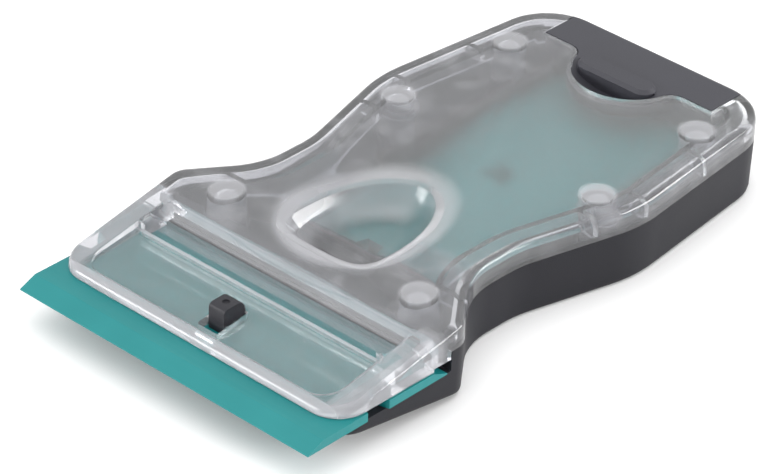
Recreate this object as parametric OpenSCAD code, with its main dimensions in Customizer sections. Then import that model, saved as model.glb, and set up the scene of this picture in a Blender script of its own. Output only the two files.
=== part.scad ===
// Hob scraper: a two-edged plastic blade clamped between a dark shell and a clear cover,
// with a pusher that moves the blade forward and a drawer of spare blades in the handle.
// Lengths run back from the cutting edge (y), heights run up from the table (z).

/* [Blade] */
// Width of a blade, along its cutting edge
blade_w = 62; // [56:0.5:70]
// Depth of a blade, from one cutting edge to the other
blade_d = 30; // [28:0.5:31]
// Thickness of a blade
blade_t = 1.5; // [1.3:0.1:1.8]
// Width of the bevel along each cutting edge
bevel_w = 3.2; // [2:0.1:4.5]
// Thickness left at each cutting edge
edge_t = 0.2; // [0.1:0.05:0.4]
// Length of the notch in each end of a blade
notch_l = 4.2; // [3:0.1:5]
// Depth of the notch in each end of a blade
notch_depth = 2.2; // [1:0.1:3]
// Width of the hole in the middle of a blade
hole_w = 4.4; // [4.2:0.1:6]
// Length of the hole in the middle of a blade
hole_l = 3.8; // [3.6:0.1:6]

/* [Body] */
// Height from the table to the top of the cover
body_h = 14; // [13.8:0.1:15.5]
// Height of the seam between the shell and the cover
seam_z = 9.8; // [9.4:0.1:10.4]
// Height of the blade's underside above the table
blade_z = 6.1; // [5.7:0.1:6.5]
// Distance of the jaws' front from the cutting edge
front_y = 6.8; // [6:0.1:7.4]
// How far each end of the blade stands out past the jaws' front
blade_overhang = 0.4; // [0:0.1:1.5]
// Radius of the jaws' front corners
front_r = 5.5; // [3:0.1:7]
// How far each shoulder stands out past the blade
shoulder_margin = 0; // [-0.5:0.1:1]
// Distance of the shoulders from the cutting edge
shoulder_y = 33.5; // [33:0.1:35]
// Width at the waist
waist_w = 45.4; // [44:0.2:48]
// Distance of the waist's front end from the cutting edge
waist_front_y = 44; // [42:0.5:46]
// Distance of the waist's back end from the cutting edge
waist_back_y = 55.5; // [54:0.5:58]
// Width at the palm swell
palm_w = 57.3; // [54:0.2:60]
// Distance of the palm swell from the cutting edge
palm_y = 77.5; // [74:0.5:82]
// Width at the back, measured without its round corners
back_w = 49.6; // [47:0.2:52]
// Radius of the back corners
back_r = 10; // [6:0.5:11]
// Radius of the shell's bottom edge
bottom_r = 1; // [0.6:0.1:2]
// Radius of the cover's top edge
top_r = 1.2; // [0.6:0.1:1.3]
// How far the shell's wall leans in at the bottom
draft = 0.3; // [0:0.1:0.8]
// Wall of the shell and of the cover's skirt
wall = 1.6; // [1.2:0.1:1.8]
// Thickness of the shell's floor
floor_t = 1.4; // [1.1:0.1:1.5]

/* [Jaws] */
// Thickness of the lower jaw at its front
jaw_tip_t = 1.6; // [1.3:0.1:2]
// Where the jaw's slope meets the flat bottom, from the cutting edge
heel_y = 37; // [36:0.5:42]
// Thickness of the upper jaw at its front
flap_tip_t = 1.5; // [1.4:0.1:2]
// Where the upper jaw's ramp meets the flat top, from the cutting edge
crest_y = 34.5; // [33:0.5:36]
// Half the length over which slopes blend into flats
blend_l = 3; // [1:0.5:4]
// Thickness of the sunk panel at its front
panel_front_t = 1.3; // [1.1:0.1:1.4]
// Thickness of the sunk panel at the groove
panel_back_t = 2.8; // [2:0.1:3]
// Height of the bead along the groove's front edge
bead_h = 0.1; // [0:0.05:0.4]
// Width of the sunk panel and of the groove
panel_w = 52.6; // [48:0.2:54]
// Distance of the panel's front from the jaws' front
panel_rim = 1.8; // [1.2:0.1:3]
// Distance of the groove's front edge from the cutting edge
groove_y = 20.8; // [20:0.2:22]
// Length of the groove at its ends
groove_l = 6.4; // [5.6:0.1:7.2]
// How far the groove's back edge bulges forward in the middle
groove_bulge = 1; // [0:0.1:2]
// Thickness left under the groove
groove_floor_t = 0.9; // [0.7:0.1:1.4]
// Space between the blade's back part and the upper jaw
relief = 0.7; // [0.3:0.1:0.9]

/* [Thumb bowl] */
// Distance of the bowl's widest place from the cutting edge
bowl_y = 41; // [40.5:0.5:43]
// Width of the bowl's steep wall
bowl_w = 18.8; // [16:0.2:20]
// Distance from the widest place to the back of the steep wall
bowl_back = 17; // [14:0.5:18]
// Distance from the widest place to the front of the steep wall
bowl_front = 7.4; // [6:0.1:7.6]
// Width of the gentle lip outside the steep wall
bowl_lip = 4.4; // [2:0.1:5]
// Drop of the gentle lip
lip_drop = 1.2; // [0.4:0.1:1.4]
// Thickness of the bowl's floor and walls
bowl_wall = 1.3; // [1:0.1:1.5]

/* [Posts] */
// Radius of the cover's round posts
post_r = 3; // [2.6:0.1:3.2]
// Radius of the wide collar low on each middle post
collar_r = 3.6; // [3.1:0.1:4]
// Radius of the narrow upper part of each middle post
neck_r = 2.5; // [1.8:0.1:2.9]
// Radius of the shell's pegs that the posts fit over
pin_r = 1.9; // [1.5:0.1:2]
// Length of the pegs above their sockets
pin_l = 2.6; // [2:0.1:3]
// Thickness of the cover over the domed end of each post's bore
dome_t = 1.3; // [1:0.1:1.6]
// Height of the sockets that the posts stand on
socket_z = 6; // [5.6:0.1:7]
// Half the distance between the front pair of posts
front_post_x = 20.6; // [19:0.2:22]
// Distance of the front pair from the cutting edge
front_post_y = 34.6; // [34.4:0.1:36]
// Distance of the middle pair from the cutting edge
middle_post_y = 75; // [73:0.5:77]
// Distance of the back pair from the body's back
back_post_inset = 15; // [14.5:0.5:17]

/* [Blade pusher] */
// Travel of the pusher and blade
push_travel = 1.6; // [1:0.1:2.4]
// Width of the pusher's lug
lug_w = 3.4; // [3:0.1:4.6]
// Length of the lug's nose over the blade
nose_l = 1.4; // [0.6:0.1:1.8]
// Gap between the lug and each side of its slot
slot_gap = 0.5; // [0.3:0.1:0.9]
// How far the lug stands above the sunk panel
lug_rise = 2.2; // [0.8:0.1:2.6]
// Width of the pusher's plate under the blade
plate_w = 12; // [8:0.5:16]
// Length of the pusher's plate under the blade
plate_l = 10; // [7:0.5:12]
// Thickness of the pusher's plate
plate_t = 0.7; // [0.5:0.05:0.75]

/* [Drawer] */
// Width of the drawer's dark top
head_w = 36; // [34:0.5:38]
// Length of the drawer's dark top at its ends
head_l = 8.6; // [8:0.1:10]
// Thickness of the drawer's floor
tray_floor_t = 0.8; // [0.6:0.1:1]
// Thickness of the drawer's side walls
tray_wall = 0.9; // [0.7:0.1:1.2]
// Distance of the spare blades' front ends from the cutting edge
store_y = 44.8; // [44.6:0.1:48]
// Travel of the drawer
drawer_travel = 50; // [35:1:50]
// Thickness of the shell's guide walls
guide_t = 1.4; // [1.2:0.1:1.6]
// How far the drawer's tongues reach into the guide walls
tongue_w = 0.5; // [0.4:0.1:0.6]
// Radius of the finger bite in the cover
bite_r = 9.6; // [8:0.2:10.4]
// Radius of the fillets beside the finger bite
bite_fillet = 3; // [1:0.2:3.6]
// Length of the grip ridge
grip_l = 15.8; // [12:0.2:16]
// Width of the grip ridge
grip_w = 4.4; // [3:0.1:5]
// How far the grip ridge stands above the top
grip_rise = 0.7; // [0:0.1:1]
// Depth of the scoop in front of the grip ridge
scoop_depth = 2.6; // [1.5:0.1:2.8]

/* [Hidden] */
$fn = 48;

// Gap round a part that slides
slide_gap = 0.2;
// Gap round a pin in its socket
pin_gap = 0.03;
// Play of the spare blades in the drawer
blade_play = 0.3;
// Gap between the blade and the upper jaw
jaw_gap = 0.1;
// A length longer than the whole object, for cutting
far = 200;

shell_colour = "dimgray";
clear_colour = "lightgray";
blade_colour = "mediumaquamarine";

// Sizes of the body that follow from the blades
front_w = blade_w - 2 * blade_overhang;
shoulder_w = blade_w + 2 * shoulder_margin;
body_l = store_y + blade_w + 2 * blade_play + head_l;

// Heights that follow from the blade and the body
blade_top = blade_z + blade_t;
jaw_z = blade_top + jaw_gap;
mouth_y = blade_d + 1;
jaw_slope = (blade_z - jaw_tip_t) / (heel_y - front_y);
ramp_slope = (body_h - blade_top - flap_tip_t) / (crest_y - front_y);

// The drawer and its stack of spare blades
tray_z = floor_t + slide_gap;
stack_z = tray_z + tray_floor_t;
stack_top = stack_z + 3 * blade_t;
tray_top = stack_top - 0.2 * blade_t;
tray_in = blade_d / 2 + blade_play;
tray_out = tray_in + tray_wall;
guide_in = tray_out + slide_gap;
guide_out = guide_in + guide_t;
head_y = body_l - head_l;
bite_offset = 0.6;
grip_y = head_y - 2.6;
stack_back_y = head_y - blade_play;
stack_y = stack_back_y - blade_w / 2 - blade_play / 2;
stack_front_y = stack_back_y - blade_w - blade_play;
tray_front_y = stack_front_y - tray_wall;
tongue_l = 16;
tongue_h = 1.2;
tongue_z = tray_z + 2.4;
tongue_y = tray_front_y + 2;

// The bowl just clears the spare blades
bowl_under_z = stack_top + blade_play;
bowl_floor_z = bowl_under_z + bowl_wall;

// The pusher's lug fills the blade's hole
lug_l = hole_l - 2 * slide_gap;
lug_front_y = blade_d / 2 - lug_l / 2;
lug_back_y = blade_d / 2 + lug_l / 2;
nose_y = lug_front_y - nose_l;
slot_front_y = nose_y - push_travel - 2 * slide_gap;
slot_back_y = lug_back_y + slide_gap;
plate_top = blade_z;
plate_y = lug_front_y;

// Posts, each as [x, y] of the right-hand one
post_places = [
    [front_post_x, front_post_y],
    [guide_out + 3.7, middle_post_y],
    [guide_out + 2.5, body_l - back_post_inset]
];

// Direction from one point to the next
function unit(v) = v / norm(v);

// Points of the rounded corner at p between a and b, on an outline moved inward by d
function corner(a, p, b, r, d) =
    let (
        e1 = unit(p - a),
        e2 = unit(b - p),
        n1 = [-e1[1], e1[0]],
        n2 = [-e2[1], e2[0]],
        side = e1[0] * e2[1] - e1[1] * e2[0] > 0 ? 1 : -1,
        q = p + d * (n1 + n2) / (1 + n1 * n2),
        rr = max(r - side * d, 0.05),
        turn = acos(e1 * e2),
        centre = q - e1 * rr * tan(turn / 2) + n1 * side * rr,
        start = atan2(-side * n1[1], -side * n1[0]),
        steps = r > 8 ? 10 : 7
    )
    [for (i = [0 : steps])
        let (angle = start + side * turn * i / steps)
        centre + rr * [cos(angle), sin(angle)]];

// Corners of the right half of the body, front to back, as [x, y, radius]
half_corners = [
    [front_w / 2, front_y, front_r],
    [shoulder_w / 2, shoulder_y, 4],
    [waist_w / 2, waist_front_y, 14],
    [waist_w / 2, waist_back_y, 22],
    [palm_w / 2, palm_y, 25],
    [back_w / 2, body_l, back_r]
];

function xy(c) = [c[0], c[1]];
function mirrored(c) = [-c[0], c[1]];

// Right half of the body's outline moved inward by d
function half_outline(d) =
    let (last = len(half_corners) - 1)
    [for (i = [0 : last])
        let (
            c = half_corners[i],
            a = i == 0 ? mirrored(c) : xy(half_corners[i - 1]),
            b = i == last ? mirrored(c) : xy(half_corners[i + 1])
        )
        each corner(a, xy(c), b, c[2], d)];

// Whole outline, back down the left side in reverse
function outline(d) =
    let (right = half_outline(d), n = len(right))
    concat(right, [for (i = [n - 1 : -1 : 0]) mirrored(right[i])]);

// Zero past the edge, a straight slope before it, and a parabola where they meet
function slope_to_flat(distance, slope) =
    distance > blend_l ? slope * distance
    : distance > -blend_l ? slope * pow(distance + blend_l, 2) / (4 * blend_l)
    : 0;

function bottom_z(y) = slope_to_flat(heel_y - y, jaw_slope);
function top_z(y) = body_h - slope_to_flat(crest_y - y, ramp_slope);

// Skin through rings of the same number of points, each ring mirrored left to right
module skin(rings) {
    n = len(rings[0]);
    half = n / 2;
    top = (len(rings) - 1) * n;
    sides = [for (k = [0 : len(rings) - 2]) for (i = [0 : n - 1])
        let (j = (i + 1) % n)
        [k * n + i, (k + 1) * n + i, (k + 1) * n + j, k * n + j]];
    under = [for (i = [0 : half - 2]) [i, i + 1, n - 2 - i, n - 1 - i]];
    over = [for (f = under) [for (i = [3 : -1 : 0]) top + f[i]]];
    polyhedron(points = [for (ring = rings) each ring], faces = concat(sides, under, over));
}

// Outer form of the closed body: shell and cover together
module body_form() {
    under = [for (a = [0 : 30 : 90])
        [for (p = outline(draft + bottom_r * (1 - sin(a))))
            [p[0], p[1], bottom_z(p[1]) + bottom_r * (1 - cos(a))]]];
    middle = [for (p = outline(0))
        [p[0], p[1], min(seam_z, top_z(p[1]) - top_r - 0.1)]];
    over = [for (a = [0 : 30 : 90])
        [for (p = outline(top_r * (1 - cos(a))))
            [p[0], p[1], top_z(p[1]) - top_r * (1 - sin(a))]]];
    skin(concat(under, [middle], over));
}

// Hollow under the cover, behind the groove
module cover_hollow() {
    low = [for (p = outline(wall)) [p[0], p[1], blade_z]];
    high = [for (p = outline(wall)) [p[0], p[1], top_z(p[1]) - wall - 0.6]];
    roof = [for (p = outline(wall + 0.6)) [p[0], p[1], top_z(p[1]) - wall]];
    difference() {
        skin([low, high, roof]);
        translate([-far / 2, -far, -1])
            cube([far, far + groove_y + groove_l + wall, far]);
    }
}

// Box between two corners
module block(low, high) {
    translate(low) cube(high - low);
}

// Box centred on the width, from y1 to y2 and z1 to z2
module bar(w, y1, y2, z1, z2) {
    block([-w / 2, y1, z1], [w / 2, y2, z2]);
}

// Side profile of [y, z] points, drawn out over the width
module profile(w, points) {
    rotate([90, 0, 90]) linear_extrude(w, center = true) polygon(points);
}

// Rectangle with round corners, from y1 to y2
module round_bar(w, y1, y2, r, z1, z2) {
    translate([0, 0, z1]) linear_extrude(z2 - z1) union() {
        translate([-w / 2 + r, y1]) square([w - 2 * r, y2 - y1]);
        translate([-w / 2, y1 + r]) square([w, y2 - y1 - 2 * r]);
        for (x = [-1, 1], y = [y1 + r, y2 - r])
            translate([x * (w / 2 - r), y]) circle(r);
    }
}

// Places its children at every post
module at_posts() {
    for (p = post_places, side = [-1, 1])
        translate([side * p[0], p[1], 0]) children();
}

// Blade lying flat, centred on its hole, cutting edges at front and back
module blade_form() {
    half_d = blade_d / 2;
    difference() {
        profile(blade_w, [
            [-half_d, 0], [half_d, 0], [half_d, edge_t], [half_d - bevel_w, blade_t],
            [-half_d + bevel_w, blade_t], [-half_d, edge_t]
        ]);
        round_bar(hole_w, -hole_l / 2, hole_l / 2, 0.6, -1, blade_t + 1);
        for (side = [-1, 1])
            translate([side * blade_w / 2, 0, -1]) linear_extrude(blade_t + 2) polygon([
                [side, -notch_l / 2 - 0.5], [-side * notch_depth, -notch_l / 2 + 0.4],
                [-side * notch_depth, notch_l / 2 - 0.4], [side, notch_l / 2 + 0.5]
            ]);
    }
}

// Closed curve of the thumb bowl, moved out by d: round at the back, squarer at the front
function bowl_curve(d) =
    [for (i = [0 : 59])
        let (
            t = i * 6,
            power = t <= 180 ? 1 : 0.55,
            reach = (t <= 180 ? bowl_back : bowl_front) + d,
            c = cos(t),
            s = sin(t)
        )
        [(bowl_w / 2 + d) * sign(c) * pow(abs(c), power),
         bowl_y + reach * sign(s) * pow(abs(s), power)]];

// Stack of bowl curves, as [outward distance, height] pairs from the bottom up
module bowl_stack(levels) {
    n = 60;
    top = (len(levels) - 1) * n;
    sides = [for (k = [0 : len(levels) - 2]) for (i = [0 : n - 1])
        let (j = (i + 1) % n)
        [k * n + i, (k + 1) * n + i, (k + 1) * n + j, k * n + j]];
    under = [[for (i = [0 : n - 1]) i]];
    over = [[for (i = [n - 1 : -1 : 0]) top + i]];
    polyhedron(
        points = [for (l = levels) each [for (p = bowl_curve(l[0])) [p[0], p[1], l[1]]]],
        faces = concat(sides, under, over));
}

// Space of the bowl, deep behind its straight front and open above
module bowl_space() {
    depth = body_h - lip_drop - bowl_floor_z;
    bowl_stack([
        [-5.4, bowl_floor_z],
        [-3.9, bowl_floor_z + 0.06 * depth],
        [-2.5, bowl_floor_z + 0.21 * depth],
        [-1.4, bowl_floor_z + 0.45 * depth],
        [-0.6, bowl_floor_z + 0.74 * depth],
        [0, body_h - lip_drop],
        [0.45 * bowl_lip, body_h - 0.5 * lip_drop],
        [bowl_lip, body_h],
        [bowl_lip + 0.2, body_h + 1]
    ]);
}

// Solid that carries the bowl under the cover
module bowl_body() {
    depth = body_h - lip_drop - bowl_floor_z;
    bowl_stack([
        [bowl_wall - 5.5, bowl_under_z],
        [bowl_wall - 3.5, bowl_under_z + 0.11 * depth],
        [bowl_wall - 2, bowl_under_z + 0.3 * depth],
        [bowl_wall - 0.8, bowl_under_z + 0.6 * depth],
        [bowl_wall - 0.2, bowl_under_z + 0.9 * depth],
        [bowl_wall + 0.4, body_h - lip_drop],
        [bowl_wall + 0.4, body_h - 0.2]
    ]);
}

// Plan of the finger bite and of the drawer's head, grown by g, with filleted corners
module bite_plan(g) {
    fillet_x = sqrt(pow(bite_r + bite_fillet, 2) - pow(bite_fillet + bite_offset, 2));
    fillet_y = head_y - bite_fillet;
    translate([-head_w / 2 - g, head_y - g]) square([head_w + 2 * g, far]);
    translate([0, head_y + bite_offset]) circle(bite_r + g);
    difference() {
        polygon([
            [0, head_y + bite_offset], [-fillet_x, fillet_y], [-fillet_x, head_y],
            [fillet_x, head_y], [fillet_x, fillet_y]
        ]);
        for (side = [-1, 1]) translate([side * fillet_x, fillet_y]) circle(bite_fillet - g);
    }
}

// Round post under the cover, or one of the middle ones with its neck and collar
module post(middle) {
    top = body_h - wall / 2;
    step_z = body_h - 2 * wall;
    translate([0, 0, socket_z]) cylinder(r = post_r, h = (middle ? step_z : top) - socket_z);
    if (middle) {
        translate([0, 0, seam_z + 0.2]) cylinder(r = collar_r, h = step_z - seam_z - 0.2);
        translate([0, 0, socket_z]) cylinder(r = neck_r, h = top - socket_z);
    }
}

// Ribs that follow the outline inside the cover, and the short webs between them
module cover_ribs() {
    rib_in = 4.4;
    rib_t = 1;
    rib_start_y = front_post_y + post_r + 0.6;
    web_gap = collar_r + 0.8;
    webs_y = [
        rib_start_y,
        middle_post_y - web_gap - rib_t,
        middle_post_y + web_gap,
        body_l - back_post_inset - web_gap - rib_t
    ];
    translate([0, 0, seam_z]) linear_extrude(body_h - wall / 2 - seam_z) {
        difference() {
            polygon(outline(rib_in));
            polygon(outline(rib_in + rib_t));
            translate([-far / 2, 0]) square([far, rib_start_y]);
        }
        intersection() {
            difference() {
                polygon(outline(wall / 2));
                polygon(outline(rib_in + rib_t / 2));
            }
            for (y = webs_y)
                translate([-far / 2, y]) square([far, rib_t]);
        }
    }
}

// Clear cover with its clamping jaw, bowl, posts and finger bite
module top_cover() {
    panel_front = front_y + panel_rim;
    groove_back = groove_y + groove_l;
    groove_z = blade_top + groove_floor_t;
    bulge_r = 100;
    bore_r = pin_r + pin_gap;
    color(clear_colour, 0.5) difference() {
        union() {
            difference() {
                body_form();
                cover_hollow();
                bar(far, -1, mouth_y, -1, jaw_z);
                bar(far, mouth_y - slide_gap, far, -1, seam_z);
                // The jaw lifts off the blade's back part
                bar(far, groove_y + groove_l, mouth_y, -1, blade_top + relief);
            }
            intersection() {
                body_form();
                union() {
                    bowl_body();
                    cover_ribs();
                    for (p = post_places, side = [-1, 1])
                        translate([side * p[0], p[1], 0]) post(p[1] == middle_post_y);
                }
            }
        }
        // Sunk panel and the groove behind it
        intersection() {
            profile(far, [
                [panel_front, blade_top + panel_front_t],
                [groove_y - 1, blade_top + panel_back_t],
                [groove_y - 0.7, blade_top + panel_back_t + bead_h],
                [groove_y, blade_top + panel_back_t + bead_h],
                [groove_y, far], [panel_front, far]
            ]);
            round_bar(panel_w, panel_front, groove_y + 8, 4, 0, far);
        }
        // Its back slopes up to the top, cut short in the middle by a wide arc
        difference() {
            intersection() {
                round_bar(panel_w, groove_y, groove_back, 1.5, 0, far);
                profile(far, [
                    [groove_y, groove_z], [groove_y + 1, groove_z],
                    [groove_back, top_z(groove_back)], [groove_back, far], [groove_y, far]
                ]);
            }
            translate([0, groove_y + groove_l - groove_bulge + bulge_r, 0])
                cylinder(r = bulge_r, h = far + 1, $fn = 360);
        }
        // Slot for the pusher's lug
        round_bar(lug_w + 2 * slot_gap, slot_front_y, slot_back_y, slot_gap, 0, far);
        // Bores of the posts, domed at the top
        at_posts() {
            cylinder(r = bore_r, h = body_h - dome_t - bore_r);
            translate([0, 0, body_h - dome_t - bore_r]) sphere(bore_r);
        }
        bowl_space();
        translate([0, 0, seam_z - 1]) linear_extrude(far) bite_plan(slide_gap);
    }
}

// Dark shell: floor, walls, lower jaw, guides for the drawer and sockets for the cover's pins
module lower_shell() {
    inset = wall + 0.4;
    step_y = heel_y - blend_l / 2;
    step_z = bottom_z(mouth_y + wall) + floor_t;
    back_y = body_l - wall;
    groove_top = tongue_z + tongue_h + slide_gap;
    color(shell_colour) difference() {
        union() {
            difference() {
                body_form();
                bar(far, -1, far, seam_z, far);
                bar(far, -1, mouth_y, blade_z, far);
                // Hollow of the handle
                intersection() {
                    translate([0, 0, floor_t]) linear_extrude(far) polygon(outline(inset));
                    union() {
                        bar(far, step_y, back_y, floor_t, far);
                        bar(far, mouth_y + wall, step_y + 1, step_z, far);
                    }
                }
            }
            // Guide walls beside the drawer, and the stop in front of it
            for (side = [-1, 1]) scale([side, 1, 1])
                block([guide_in, tray_front_y - slide_gap, floor_t / 2],
                      [guide_out, back_y + 0.2, tray_top]);
            bar(2 * guide_out, tray_front_y - slide_gap - guide_t, tray_front_y - slide_gap,
                floor_t / 2, socket_z);
            for (p = post_places, side = [-1, 1]) {
                foot_z = bottom_z(p[1] - post_r) + floor_t / 2;
                translate([side * p[0], p[1], foot_z])
                    cylinder(r = post_r, h = socket_z - foot_z);
                translate([side * p[0], p[1], foot_z])
                    cylinder(r = pin_r, h = socket_z + pin_l - foot_z);
            }
        }
        // Way out for the drawer through the back wall
        bar(2 * guide_in, back_y - 1, far, floor_t, far);
        // Grooves for the drawer's tongues, closed at both ends
        bar(2 * (guide_in + tongue_w + 0.15), tongue_y - slide_gap,
            tongue_y + tongue_l + drawer_travel + slide_gap, tongue_z - slide_gap, groove_top);
        at_posts() translate([0, 0, socket_z]) difference() {
            cylinder(r = post_r + slide_gap, h = far);
            cylinder(r = pin_r, h = pin_l);
        }
        // Pocket that the pusher's plate slides in
        bar(plate_w + 2 * slide_gap, plate_y - push_travel - slide_gap,
            plate_y + plate_l + slide_gap, plate_top - plate_t - slide_gap / 2, far);
    }
}

// Pusher: a thin plate under the blade, and a lug up through the blade and the cover
module blade_pusher() {
    lug_top = blade_top + panel_back_t - 0.5 + lug_rise;
    dimple = 0.3;
    color(shell_colour) difference() {
        union() {
            bar(plate_w, plate_y, plate_y + plate_l, plate_top - plate_t, plate_top);
            profile(lug_w, [
                [lug_front_y, plate_top - plate_t], [lug_back_y, plate_top - plate_t],
                [lug_back_y, blade_top + 1.6], [lug_back_y - 0.4, lug_top - 0.9],
                [lug_back_y - 0.9, lug_top - 0.3], [lug_back_y - 1.5, lug_top],
                [nose_y + 0.8, lug_top], [nose_y + 0.25, lug_top - 0.25], [nose_y, lug_top - 0.7],
                [nose_y, blade_top], [lug_front_y, blade_top]
            ]);
        }
        translate([0, (nose_y + lug_back_y) / 2 - dimple, lug_top - dimple])
            cylinder(r = 2 * dimple, h = 1);
    }
}

// Blade in the jaws
module scraper_blade() {
    color(blade_colour) translate([0, blade_d / 2, blade_z]) blade_form();
}

// Spare blade in the drawer, counted from the bottom
module spare_blade(level) {
    color(blade_colour) translate([0, stack_y, stack_z + level * blade_t])
        rotate(90) blade_form();
}

// Ridge that a fingertip pulls, with round ends and a bevelled top
module grip_ridge() {
    reach = grip_l / 2 - grip_w / 2;
    top = body_h + grip_rise;
    bevel = 0.6;
    translate([0, grip_y, 0]) {
        bar(2 * reach, -grip_w / 2, grip_w / 2, body_h - scoop_depth - 1, top - bevel);
        profile(2 * reach, [
            [-grip_w / 2, top - bevel], [grip_w / 2, top - bevel],
            [grip_w / 2 - bevel, top], [-grip_w / 2 + bevel, top]
        ]);
        for (side = [-1, 1]) translate([side * reach, 0, body_h - scoop_depth - 1]) {
            cylinder(r = grip_w / 2, h = scoop_depth + 1 + grip_rise - bevel);
            translate([0, 0, scoop_depth + 1 + grip_rise - bevel])
                cylinder(r1 = grip_w / 2, r2 = grip_w / 2 - bevel, h = bevel);
        }
    }
}

// Dark head of the drawer: back face, top with its scoop, and grip ridge
module drawer_head() {
    scoop_z = body_h - scoop_depth;
    under_plate = body_h - wall - slide_gap;
    reach = bite_r - 0.6;
    ledge = 0.8;
    scoop_floor_t = 1.4;
    ball_r = (pow(reach, 2) + pow(scoop_depth, 2)) / (2 * scoop_depth);
    difference() {
        union() {
            intersection() {
                body_form();
                union() {
                    bar(head_w, head_y, far, seam_z + slide_gap / 2, far);
                    bar(2 * tray_out, head_y, far, tray_z, far);
                }
            }
            translate([0, 0, scoop_z - scoop_floor_t])
                linear_extrude(scoop_depth + scoop_floor_t) intersection() {
                    bite_plan(0);
                    translate([-far / 2, 0]) square([far, head_y + 1]);
                }
            // Lip that closes the gap under the edge of the cover's bite
            intersection() {
                translate([0, head_y + bite_offset, 0]) cylinder(r = bite_r + ledge, h = far);
                bar(far, 0, head_y + 1, scoop_z - scoop_floor_t, under_plate);
            }
        }
        // Round scoop that ends at the middle of the grip ridge
        intersection() {
            translate([0, grip_y - 3.2, scoop_z + ball_r]) sphere(ball_r, $fn = 96);
            bar(far, 0, grip_y, 0, far);
        }
    }
    grip_ridge();
}

// Drawer: open tray for the spare blades, tongues in the guides, and the head
module blade_drawer() {
    window_edge = 4;
    window_pitch = (blade_w - window_edge / 2) / 3;
    color(shell_colour) {
        difference() {
            bar(2 * tray_out, tray_front_y, head_y + 1, tray_z, tray_top);
            bar(2 * tray_in, stack_front_y, stack_back_y, stack_z, far);
            for (k = [0 : 2])
                round_bar(2 * (tray_in - window_edge),
                    stack_front_y + k * window_pitch + window_edge,
                    stack_front_y + (k + 1) * window_pitch, 2, -1, far);
        }
        for (side = [-1, 1]) scale([side, 1, 1])
            block([tray_out - 0.1, tongue_y, tongue_z],
                  [tray_out + tongue_w + slide_gap, tongue_y + tongue_l, tongue_z + tongue_h]);
        drawer_head();
    }
}

// The parts are drawn with the object centred over the table's origin
module place() {
    translate([0, -body_l / 2, 0]) children();
}

place() lower_shell();
place() top_cover();
place() scraper_blade();
place() blade_pusher();
place() blade_drawer();
place() spare_blade(0);  // spare_blade_1
place() spare_blade(1);  // spare_blade_2
place() spare_blade(2);  // spare_blade_3
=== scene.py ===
import math
import bpy
import bmesh
import numpy as np
from mathutils import Matrix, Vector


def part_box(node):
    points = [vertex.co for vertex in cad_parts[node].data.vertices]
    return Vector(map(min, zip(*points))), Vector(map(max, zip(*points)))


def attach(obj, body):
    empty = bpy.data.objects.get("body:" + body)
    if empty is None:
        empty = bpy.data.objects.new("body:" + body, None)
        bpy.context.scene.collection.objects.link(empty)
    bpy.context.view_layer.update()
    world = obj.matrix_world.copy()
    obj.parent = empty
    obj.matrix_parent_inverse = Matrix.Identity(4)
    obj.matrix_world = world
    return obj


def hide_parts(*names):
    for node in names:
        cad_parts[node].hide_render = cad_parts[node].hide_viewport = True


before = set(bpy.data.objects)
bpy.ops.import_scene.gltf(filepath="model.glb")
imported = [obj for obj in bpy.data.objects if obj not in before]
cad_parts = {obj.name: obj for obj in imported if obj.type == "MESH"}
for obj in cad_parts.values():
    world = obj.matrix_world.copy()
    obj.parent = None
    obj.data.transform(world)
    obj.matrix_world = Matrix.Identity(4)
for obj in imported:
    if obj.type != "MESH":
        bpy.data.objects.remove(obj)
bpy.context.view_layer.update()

MM = 0.001

# The photograph's view, fitted to the blade's corners and the body's outline
VIEW_AZIMUTH = 42.51
VIEW_ELEVATION = 32.83
VIEW_ROLL = 1.50
VIEW_DISTANCE = 617.56 * MM
LENS = 187.5
SENSOR_WIDTH = 36
TARGET_X = 6.48 * MM
TARGET_BACK = 41.88 * MM

# The studio dome: its strength, and its grey at the sine of each height above the horizon
DOME_LIGHT = 1.1
DOME_BANDS = ((0.0, 0.75), (0.2, 0.7), (0.4, 0.85), (0.62, 1.05), (0.82, 1.3), (1.0, 2.2))

# The soft boxes' distance from the object, size and brightness, and the floor's half width
SOFT_BOX_DISTANCE = 0.9
SOFT_BOX_WIDTH = 0.6
SOFT_BOX_HEIGHT = 0.25
SOFT_BOX_BRIGHTNESS = 12
FLOOR_REACH = 3.0

# The cover where it is frosted, milky and polished, and where it holds painted highlights and
# sheen: how clear it is, and its colour
FROSTED = 0.9
MILKY_AND_PAINTED_LIGHT = 0.66
CLEAR = 0.962
FROSTED_COLOUR = (0.66, 0.665, 0.695, 1)
CLEAR_COLOUR = (0.965, 0.983, 1, 1)

# How much the cover bends light, and how little where the blade is seen straight through it
COVER_IOR = 1.46
STRAIGHT_IOR = 1.05

# The middle part of a noise's values, over which a look varies
NOISE_LOW = 0.3
NOISE_HIGH = 0.7

# The dark plastic's darker and lighter patches, as parts of its tone in red, green and blue
DARK_PATCH = (0.9, 0.9, 1.14)
LIGHT_PATCH = (1.1, 1.1, 1.38)

# Angles for merging flat faces and for telling a sharp edge from a gentle one
FLAT_ANGLE = math.radians(0.5)
SHARP_ANGLE = math.radians(35)
MERGE_DISTANCE = 1e-6

# How far the sharp edges of the mouldings and of the pusher are rounded off
MOULDED_EDGE = 0.2 * MM
PUSHER_EDGE = 0.3 * MM

# How softly the cover's zones end, on narrow faces and along rims
FINE_EDGE = 0.2 * MM
RIM_EDGE = 0.4 * MM
BAND_EDGE = 0.5 * MM

# How milky the cover is beside the jaw's panel and on it and behind the groove, how strong the
# painted sheen at the back of the bowl's lip and the painted highlight on the bowl's left wall
# are, and how milky the cover is at most in the clouds
SIDES_MILK = 0.6
PANEL_MILK = 0.07
BAND_MILK = 0.7
LIP_BACK_PAINTED_SHEEN = 0.6
WALL_PAINTED_HIGHLIGHT = 0.5
CLOUD_MILK = 0.34

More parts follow.
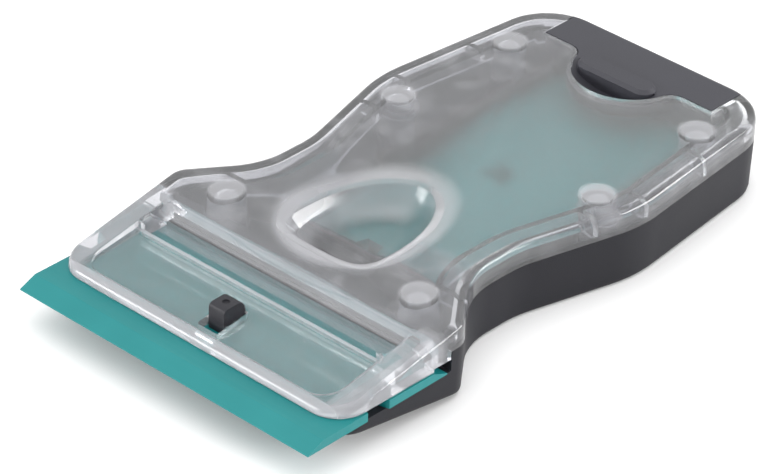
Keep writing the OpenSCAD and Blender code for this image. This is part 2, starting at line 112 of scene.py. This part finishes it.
# The cutting edge, two heights and the front of the spare blades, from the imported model
BLADE_LOW, BLADE_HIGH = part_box("scraper_blade")
EDGE_Y = BLADE_LOW[1]
BLADE_TOP_Z = BLADE_HIGH[2]
TOP_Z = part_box("top_cover")[1][2]
SPARES_FRONT_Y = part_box("spare_blade_3")[0][1]

# The jaw: its panel, the crest behind that, painted with a highlight line, and the groove with its
# light band and sloped back
PANEL_HALF = 26.3 * MM
PANEL_FRONT_Y = EDGE_Y + 8.6 * MM
CREST_Y = EDGE_Y + 20.2 * MM
CREST_WIDTH = 0.5 * MM
CREST_LOW_Z = BLADE_TOP_Z + 1.6 * MM
CREST_HIGH_Z = BLADE_TOP_Z + 2 * MM
GROOVE_Y = EDGE_Y + 21.2 * MM
GROOVE_BAND_Y = EDGE_Y + 25.3 * MM
JAW_BACK_Y = EDGE_Y + 27.2 * MM
SLOPE_BACK_Y = JAW_BACK_Y - 0.3 * MM

# Behind the jaw: where its clouds are full, where the milky sides have faded out, and the
# underside over the blade's back edge, up to its highest place over the blade
CLOUDS_Y = JAW_BACK_Y + 1 * MM
SIDES_BACK_Y = JAW_BACK_Y + 3 * MM
UNDER_BACK_Y = EDGE_Y + 32 * MM
UNDER_RISE = 1.9 * MM

# The window over the spare blades
WINDOW_HALF = 14.5 * MM
WINDOW_X = 6.5 * MM
WINDOW_SOFT = 2.5 * MM

# The thumb bowl: its widest line, its reach to each side, to the back and to the front, its lip
BOWL_Y = EDGE_Y + 41 * MM
BOWL_HALF = 9.4 * MM
BOWL_BACK = 17 * MM
BOWL_FRONT = 7.4 * MM
LIP = 4.2 * MM
LIP_FADE = 12 * MM

# Where the bowl's lip and left wall change from clear to pale, with a painted sheen on the lip and
# a painted highlight on the wall, across the oval with 1 on its edge, and for the wall also from
# right to left
LIP_INSIDE = (0.9, 1.12)
LIP_OUTSIDE = (1.05, 0.86)
WALL_INSIDE = (0.62, 0.84)
WALL_OUTSIDE = (1.2, 1)
WALL_LEFT = (2 * MM, -3 * MM)

# The round posts, under painted highlights: their radius and the places of the right ones
POST_RADIUS = 3 * MM
POST_SOFT = 0.5 * MM
POSTS = (
    (20.6 * MM, EDGE_Y + 34.6 * MM),
    (21.5 * MM, EDGE_Y + 75 * MM),
    (20.3 * MM, EDGE_Y + 101 * MM),
)


# Shader nodes

def new_material(name):
    """New node material, with its node tree and the inputs of its Principled shader."""
    material = bpy.data.materials.new(name)
    material.use_nodes = True
    return material, material.node_tree, material.node_tree.nodes["Principled BSDF"].inputs


def add_noise(tree, scale, detail, stretch=(1, 1, 1)):
    """Noise on Object coordinates, stretched along the axes."""
    where = tree.nodes.new("ShaderNodeTexCoord")
    mapping = tree.nodes.new("ShaderNodeMapping")
    mapping.inputs["Scale"].default_value = stretch
    noise = tree.nodes.new("ShaderNodeTexNoise")
    noise.inputs["Scale"].default_value = scale
    noise.inputs["Detail"].default_value = detail
    tree.links.new(where.outputs["Object"], mapping.inputs["Vector"])
    tree.links.new(mapping.outputs["Vector"], noise.inputs["Vector"])
    return noise.outputs["Fac"]


def add_bump(tree, height, strength, depth):
    """Bump from a height value, its depth in metres."""
    bump = tree.nodes.new("ShaderNodeBump")
    bump.inputs["Strength"].default_value = strength
    bump.inputs["Distance"].default_value = depth
    tree.links.new(height, bump.inputs["Height"])
    return bump.outputs["Normal"]


def add_span(tree, value, start, end, low, high):
    """Value that runs from low to high as the given one runs from start to end, held beyond."""
    span = tree.nodes.new("ShaderNodeMapRange")
    span.inputs["From Min"].default_value = start
    span.inputs["From Max"].default_value = end
    span.inputs["To Min"].default_value = low
    span.inputs["To Max"].default_value = high
    tree.links.new(value, span.inputs["Value"])
    return span.outputs["Result"]


def add_step(tree, value, start, end):
    """Smooth change from 0 where the value is at the start to 1 where it is at the end."""
    step = add_span(tree, value, start, end, 0, 1)
    step.node.interpolation_type = "SMOOTHSTEP"
    return step


def add_variation(tree, noise, low, high):
    """Value that varies from low to high with a noise."""
    return add_span(tree, noise, NOISE_LOW, NOISE_HIGH, low, high)


def add_tint(tree, noise, dark, light):
    """Colour that varies from dark to light with a noise."""
    ramp = tree.nodes.new("ShaderNodeValToRGB")
    first, last = ramp.color_ramp.elements
    first.position, last.position = NOISE_LOW, NOISE_HIGH
    first.color, last.color = (*dark, 1), (*light, 1)
    tree.links.new(noise, ramp.inputs["Fac"])
    return ramp.outputs["Color"]


def add_math(tree, operation, first, *others):
    """Result of an operation on one value, or on the result so far and each further value."""
    for other in others or (None,):
        step = tree.nodes.new("ShaderNodeMath")
        step.operation = operation
        tree.links.new(first, step.inputs[0])
        if other is not None:
            tree.links.new(other, step.inputs[1])
        first = step.outputs["Value"]
    return first


def add_place(tree):
    """Object coordinates, one socket for each axis."""
    where = tree.nodes.new("ShaderNodeTexCoord")
    split = tree.nodes.new("ShaderNodeSeparateXYZ")
    tree.links.new(where.outputs["Object"], split.inputs["Vector"])
    return split.outputs["X"], split.outputs["Y"], split.outputs["Z"]


# Zones of the cover, each 1 inside and 0 elsewhere

def add_between(tree, value, low, high, soft):
    """1 where a value lies between two limits, with soft edges outside them."""
    return add_math(tree, "MULTIPLY", add_step(tree, value, low - soft, low),
                    add_step(tree, value, high + soft, high))


def add_spares_window(tree, x, y):
    """Zone over the spare blades, with soft edges."""
    return add_math(tree, "MULTIPLY",
                    add_between(tree, x, WINDOW_X - WINDOW_HALF, WINDOW_X + WINDOW_HALF,
                                2 * WINDOW_SOFT),
                    add_step(tree, y, SPARES_FRONT_Y - WINDOW_SOFT, SPARES_FRONT_Y + WINDOW_SOFT))


def add_panel_width(tree, x):
    """Zone as wide as the jaw's panel."""
    return add_step(tree, add_math(tree, "ABSOLUTE", x), PANEL_HALF + RIM_EDGE, PANEL_HALF)


def add_under_face(tree, y, z, panel_width):
    """Zone of the cover's underside over the blade's back edge."""
    ceiling = BLADE_TOP_Z + UNDER_RISE
    return add_math(tree, "MULTIPLY", add_between(tree, y, GROOVE_Y, UNDER_BACK_Y, FINE_EDGE),
                    add_step(tree, z, ceiling, ceiling - FINE_EDGE), panel_width)


def add_straight_view(tree, y, panel_width, under_face):
    """Zone of the groove's sloped back and of the face under it."""
    slope = add_math(tree, "MULTIPLY", add_between(tree, y, GROOVE_Y, SLOPE_BACK_Y, FINE_EDGE),
                     panel_width)
    return add_math(tree, "MAXIMUM", slope, under_face)


def add_window(tree, y, spares_window, panel_width, under_face):
    """Zone where the cover is polished inside: over the spare blades and over the jaw."""
    over_jaw = add_math(tree, "MULTIPLY", add_step(tree, y, JAW_BACK_Y, JAW_BACK_Y - RIM_EDGE),
                        panel_width, add_step(tree, y, PANEL_FRONT_Y - RIM_EDGE, PANEL_FRONT_Y))
    return add_math(tree, "MAXIMUM", spares_window, over_jaw, under_face)


# Milkiness of the cover and its painted highlights and sheen, from 0 to 1

def add_oval(tree, x, y, grow):
    """Distance from the middle of the thumb bowl, 1 on the bowl's oval edge grown by a width.

    The distance is the length of a vector whose x is the place divided by the oval's half width
    and whose y is the place behind the oval's widest line divided by its reach on that side.
    """
    across = add_span(tree, x, -BOWL_HALF - grow, BOWL_HALF + grow, -1, 1)
    across.node.clamp = False
    far = 4
    behind = add_span(tree, y, BOWL_Y, BOWL_Y + far * (BOWL_BACK + grow), 0, far)
    ahead = add_span(tree, y, BOWL_Y, BOWL_Y - far * (BOWL_FRONT + grow), 0, far)
    along = add_math(tree, "MAXIMUM", behind, ahead)
    return add_math(tree, "SQRT", add_math(tree, "ADD",
                                           add_math(tree, "MULTIPLY", across, across),
                                           add_math(tree, "MULTIPLY", along, along)))


def add_bowl_painted_light(tree, x, y):
    """Painted sheen on the thumb bowl's lip, weaker towards its back, and a painted highlight on
    the bowl's left wall.
    """
    edge = add_oval(tree, x, y, 0)
    # Painted sheen: the lip is made pale in place of the light it reflects
    lip = add_math(tree, "MULTIPLY", add_step(tree, edge, *LIP_INSIDE),
                   add_step(tree, add_oval(tree, x, y, LIP), *LIP_OUTSIDE),
                   add_span(tree, y, BOWL_Y, BOWL_Y + LIP_FADE, 1, LIP_BACK_PAINTED_SHEEN))
    # Painted highlight: the bowl's left wall only is made white
    left = add_math(tree, "MULTIPLY", add_step(tree, x, *WALL_LEFT),
                    add_step(tree, edge, *WALL_INSIDE))
    wall = add_math(tree, "MULTIPLY", add_span(tree, left, 0, 1, 0, WALL_PAINTED_HIGHLIGHT),
                    add_step(tree, edge, *WALL_OUTSIDE))
    return add_math(tree, "MAXIMUM", wall, lip)


def add_post_painted_highlight(tree, x, y):
    """Painted highlights on the round posts, in mirrored pairs."""
    flat = tree.nodes.new("ShaderNodeCombineXYZ")
    tree.links.new(add_math(tree, "ABSOLUTE", x), flat.inputs["X"])
    tree.links.new(y, flat.inputs["Y"])
    posts = []
    for post_x, post_y in POSTS:
        gap = tree.nodes.new("ShaderNodeVectorMath")
        gap.operation = "DISTANCE"
        gap.inputs[1].default_value = (post_x, post_y, 0)
        tree.links.new(flat.outputs["Vector"], gap.inputs[0])
        # Painted highlight: a pale disc over each post
        posts.append(add_step(tree, gap.outputs["Value"], POST_RADIUS + POST_SOFT,
                              POST_RADIUS - POST_SOFT))
    return add_math(tree, "MAXIMUM", *posts)


def add_jaw_milk_and_crest_highlight(tree, y, z, panel_width):
    """The jaw's milkiness on its rims, behind the groove and faintly on the panel, with a painted
    highlight line on the panel's back crest.
    """
    sides = add_math(tree, "MULTIPLY", add_step(tree, y, SIDES_BACK_Y, CLOUDS_Y),
                     add_span(tree, panel_width, 0, 1, SIDES_MILK, PANEL_MILK))
    # Painted highlight: a bright line along the top of the crest
    crest = add_math(tree, "MULTIPLY", panel_width,
                     add_between(tree, y, CREST_Y, CREST_Y + CREST_WIDTH, FINE_EDGE),
                     add_step(tree, z, CREST_LOW_Z, CREST_HIGH_Z))
    band = add_between(tree, y, GROOVE_BAND_Y, JAW_BACK_Y, BAND_EDGE)
    band = add_span(tree, band, 0, 1, 0, BAND_MILK)
    front = add_step(tree, y, PANEL_FRONT_Y, PANEL_FRONT_Y - RIM_EDGE)
    return add_math(tree, "MAXIMUM", band, front, crest, sides)


def add_clouds(tree, y, spares_window):
    """Faint clouds behind the jaw, outside the window over the spare blades."""
    noise = add_noise(tree, scale=190, detail=2)
    clouds = add_span(tree, noise, (NOISE_LOW + NOISE_HIGH) / 2, NOISE_HIGH, 0, CLOUD_MILK)
    behind = add_step(tree, y, JAW_BACK_Y, CLOUDS_Y)
    return add_math(tree, "MULTIPLY", clouds,
                    add_math(tree, "SUBTRACT", behind, spares_window))


# Materials

def dark_moulded_plastic(name, tone, gloss):
    """Charcoal plastic of a given darkness with a fine spark-eroded grain."""
    material, tree, shader = new_material(name)
    cloud = add_noise(tree, scale=60, detail=3)
    grain = add_noise(tree, scale=5200, detail=2)
    dark, light = (tuple(tone * part for part in patch) for patch in (DARK_PATCH, LIGHT_PATCH))
    tree.links.new(add_tint(tree, cloud, dark, light), shader["Base Color"])
    shader["Specular IOR Level"].default_value = gloss
    tree.links.new(add_variation(tree, cloud, low=0.44, high=0.54), shader["Roughness"])
    tree.links.new(add_bump(tree, grain, strength=0.35, depth=0.12 * MM), shader["Normal"])
    return material


def teal_blade_plastic():
    """Teal plastic with faint flow lines along the cutting edge."""
    material, tree, shader = new_material("teal_blade_plastic")
    cloud = add_noise(tree, scale=90, detail=3)
    flow = add_noise(tree, scale=700, detail=3, stretch=(0.08, 1, 1))
    tint = add_tint(tree, cloud, dark=(0.004, 0.165, 0.169), light=(0.007, 0.182, 0.186))
    tree.links.new(tint, shader["Base Color"])
    shader["Specular IOR Level"].default_value = 0.35
    tree.links.new(add_variation(tree, flow, low=0.36, high=0.48), shader["Roughness"])
    tree.links.new(add_bump(tree, flow, strength=0.25, depth=0.06 * MM), shader["Normal"])
    return material


def clear_cover_plastic():
    """Clear, slightly hazy plastic with frosted and milky zones, painted highlights and sheen on
    the thumb bowl, the posts and the jaw's crest, and a soft ripple.
    """
    material, tree, shader = new_material("clear_cover_plastic")
    x, y, z = add_place(tree)
    spares_window = add_spares_window(tree, x, y)
    panel_width = add_panel_width(tree, x)
    under_face = add_under_face(tree, y, z, panel_width)
    window = add_window(tree, y, spares_window, panel_width, under_face)
    # Milky zones together with the painted highlights and sheen, which make the cover paler and
    # less clear
    milk_and_painted_light = add_math(tree, "MAXIMUM", add_jaw_milk_and_crest_highlight(tree, y, z, panel_width),
                    add_bowl_painted_light(tree, x, y), add_post_painted_highlight(tree, x, y),
                    add_clouds(tree, y, spares_window))

    clearness = tree.nodes.new("ShaderNodeMix")
    tree.links.new(milk_and_painted_light, clearness.inputs["Factor"])
    tree.links.new(add_span(tree, window, 0, 1, FROSTED, CLEAR), clearness.inputs["A"])
    clearness.inputs["B"].default_value = MILKY_AND_PAINTED_LIGHT
    tree.links.new(clearness.outputs["Result"], shader["Transmission Weight"])

    tint = tree.nodes.new("ShaderNodeValToRGB")
    tint.color_ramp.elements[0].color = FROSTED_COLOUR
    tint.color_ramp.elements[1].color = CLEAR_COLOUR
    tree.links.new(add_math(tree, "SUBTRACT", window, milk_and_painted_light), tint.inputs["Fac"])
    tree.links.new(tint.outputs["Color"], shader["Base Color"])

    straight = add_straight_view(tree, y, panel_width, under_face)
    tree.links.new(add_span(tree, straight, 0, 1, COVER_IOR, STRAIGHT_IOR), shader["IOR"])

    haze = add_variation(tree, add_noise(tree, scale=45, detail=3), low=0.05, high=0.12)
    blur = add_span(tree, spares_window, 0, 1, low=0, high=0.12)
    ripple = add_noise(tree, scale=110, detail=2)
    tree.links.new(add_math(tree, "ADD", haze, blur), shader["Roughness"])
    tree.links.new(add_bump(tree, ripple, strength=0.14, depth=0.4 * MM), shader["Normal"])
    return material


def pale_floor_paint():
    """Near-white studio floor with a trace of tone."""
    material, tree, shader = new_material("pale_floor_paint")
    cloud = add_noise(tree, scale=6, detail=2)
    tint = add_tint(tree, cloud, dark=(0.86, 0.86, 0.86), light=(0.88, 0.88, 0.88))
    tree.links.new(tint, shader["Base Color"])
    shader["Roughness"].default_value = 0.7
    return material


# Pieces

def smooth_copy(node, material, bevel):
    """Copy of a node's mesh, merged, with smooth gentle edges and its sharp edges rounded off."""
    piece = bpy.data.objects.new(node + "_surface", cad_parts[node].data.copy())
    bpy.context.scene.collection.objects.link(piece)
    shape = bmesh.new()
    shape.from_mesh(piece.data)
    bmesh.ops.remove_doubles(shape, verts=shape.verts, dist=MERGE_DISTANCE)
    bmesh.ops.dissolve_limit(shape, angle_limit=FLAT_ANGLE, verts=shape.verts, edges=shape.edges)
    for face in shape.faces:
        face.smooth = True
    for edge in shape.edges:
        edge.smooth = len(edge.link_faces) == 2 and edge.calc_face_angle(0) < SHARP_ANGLE
    shape.to_mesh(piece.data)
    shape.free()
    piece.data.materials.clear()
    piece.data.materials.append(material)
    rounding = piece.modifiers.new("edge_rounding", "BEVEL")
    rounding.width = bevel
    rounding.segments = 2
    rounding.limit_method = "ANGLE"
    rounding.angle_limit = SHARP_ANGLE
    rounding.miter_outer = "MITER_ARC"
    rounding.harden_normals = True
    return piece


def floor_sheet(material):
    """Wide flat floor under the object."""
    far = FLOOR_REACH
    mesh = bpy.data.meshes.new("floor")
    corners = [(-far, -far, 0), (far, -far, 0), (far, far, 0), (-far, far, 0)]
    mesh.from_pydata(corners, [], [(0, 1, 2, 3)])
    floor = bpy.data.objects.new("floor", mesh)
    floor.data.materials.append(material)
    bpy.context.scene.collection.objects.link(floor)


# Camera and light

def view_axes(azimuth, elevation, roll):
    """Directions towards the viewer, to the right and up in the picture, turned by the roll."""
    az, el, ro = (math.radians(v) for v in (azimuth, elevation, roll))
    back = np.array([math.sin(az) * math.cos(el), -math.cos(az) * math.cos(el), math.sin(el)])
    right = np.array([math.cos(az), math.sin(az), 0])
    up = np.cross(back, right)
    return back, right * math.cos(ro) + up * math.sin(ro), up * math.cos(ro) - right * math.sin(ro)


def add_viewer(name, data, right, up, back, place):
    """Object for a camera or a light at a place, with its axes in the given directions."""
    viewer = bpy.data.objects.new(name, data)
    bpy.context.scene.collection.objects.link(viewer)
    matrix = np.eye(4)
    matrix[:3, 0], matrix[:3, 1], matrix[:3, 2], matrix[:3, 3] = right, up, back, place
    viewer.matrix_world = Matrix(matrix.tolist())
    return viewer


def photo_camera():
    """Camera at the photograph's viewing angle."""
    back, right, up = view_axes(VIEW_AZIMUTH, VIEW_ELEVATION, VIEW_ROLL)
    target = np.array([TARGET_X, EDGE_Y + TARGET_BACK, TOP_Z])
    data = bpy.data.cameras.new("photo_camera")
    data.lens = LENS
    data.sensor_width = SENSOR_WIDTH
    bpy.context.scene.camera = add_viewer("photo_camera", data, right, up, back,
                                          target + back * VIEW_DISTANCE)


def soft_box(name, azimuth, elevation):
    """Rectangular light that looks at the object from an azimuth and elevation."""
    back, right, up = view_axes(azimuth, elevation, 0)
    data = bpy.data.lights.new(name, "AREA")
    data.shape = "RECTANGLE"
    data.size = SOFT_BOX_WIDTH
    data.size_y = SOFT_BOX_HEIGHT
    data.energy = SOFT_BOX_BRIGHTNESS * math.pi * SOFT_BOX_WIDTH * SOFT_BOX_HEIGHT
    add_viewer(name, data, right, up, back, back * SOFT_BOX_DISTANCE)


def studio_light():
    """White dome, brightest overhead and dimmest low down, with two soft boxes."""
    world = bpy.data.worlds.new("studio")
    world.use_nodes = True
    nodes, links = world.node_tree.nodes, world.node_tree.links
    direction = nodes.new("ShaderNodeTexCoord")
    split = nodes.new("ShaderNodeSeparateXYZ")
    height = nodes.new("ShaderNodeValToRGB")
    ramp = height.color_ramp.elements
    for _ in DOME_BANDS[2:]:
        ramp.new(0.5)
    for stop, (place, grey) in zip(ramp, DOME_BANDS):
        stop.position = place
        stop.color = (grey, grey, grey, 1)
    links.new(direction.outputs["Generated"], split.inputs["Vector"])
    links.new(split.outputs["Z"], height.inputs["Fac"])
    links.new(height.outputs["Color"], nodes["Background"].inputs["Color"])
    nodes["Background"].inputs["Strength"].default_value = DOME_LIGHT
    bpy.context.scene.world = world
    bpy.context.scene.view_settings.view_transform = "Standard"
    soft_box("right_back_strip", azimuth=129, elevation=16)
    soft_box("left_front_strip", azimuth=-35, elevation=16)


# The scraper: each row is a node, its body, its material and slot, and its edges' rounding

shell_dark = dark_moulded_plastic("dark_shell_plastic", tone=0.015, gloss=0.18)
drawer_dark = dark_moulded_plastic("dark_drawer_plastic", tone=0.034, gloss=0.4)
pusher_dark = dark_moulded_plastic("dark_pusher_plastic", tone=0.018, gloss=0.3)
teal = teal_blade_plastic()
clear = clear_cover_plastic()

for node, body, material, slot, bevel in (
    ("lower_shell", "body", shell_dark, "dark_plastic", MOULDED_EDGE),
    ("top_cover", "body", clear, "clear_plastic", MOULDED_EDGE),
    ("blade_drawer", "drawer", drawer_dark, "dark_plastic", MOULDED_EDGE),
    ("blade_pusher", "blade", pusher_dark, "dark_plastic", PUSHER_EDGE),
):
    piece = smooth_copy(node, material, bevel)
    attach(piece, body)
    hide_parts(node)

for node in ("scraper_blade", "spare_blade_1", "spare_blade_2", "spare_blade_3"):
    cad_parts[node].data.materials.clear()
    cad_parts[node].data.materials.append(teal)

floor_sheet(pale_floor_paint())
studio_light()
photo_camera()
